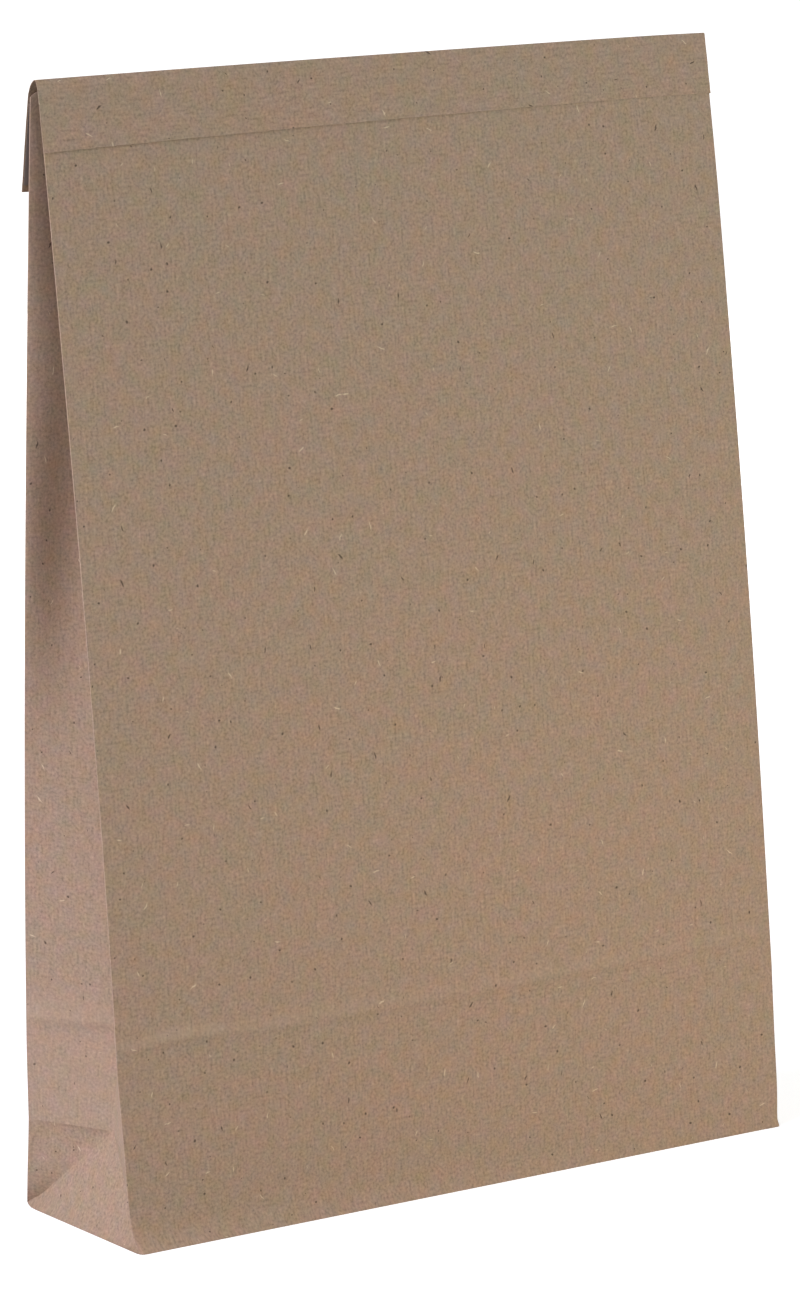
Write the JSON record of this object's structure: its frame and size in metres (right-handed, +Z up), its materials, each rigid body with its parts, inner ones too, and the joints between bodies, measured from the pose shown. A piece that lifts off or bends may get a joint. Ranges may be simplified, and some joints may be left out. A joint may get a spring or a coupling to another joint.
{
  "type": "gusseted envelope",
  "caption": "Brown kraft paper envelope with side gussets and a block bottom, standing open, with a glued closing strip folded over its mouth into a flap.",
  "frame": {"origin": "on the floor under the middle of the block bottom", "axes": "+Z up, -Y the front panel's side, +X to the right across the front panel"},
  "size_m": [0.2808, 0.0722, 0.3965],
  "materials": {
    "kraft_paper": "recycled brown kraft paper, matt, with dark specks, pale fibres and an upright grain",
    "kraft_strip": "the same kraft paper cut across, so its grain runs along the strip",
    "liner_paper": "thin grey-brown silicone-coated release paper with a faint sheen"
  },
  "bodies": {
    "root": {"bag_body": "kraft_paper", "closing_flap": "kraft_strip", "release_liner": "liner_paper"}
  },
  "joints": []
}
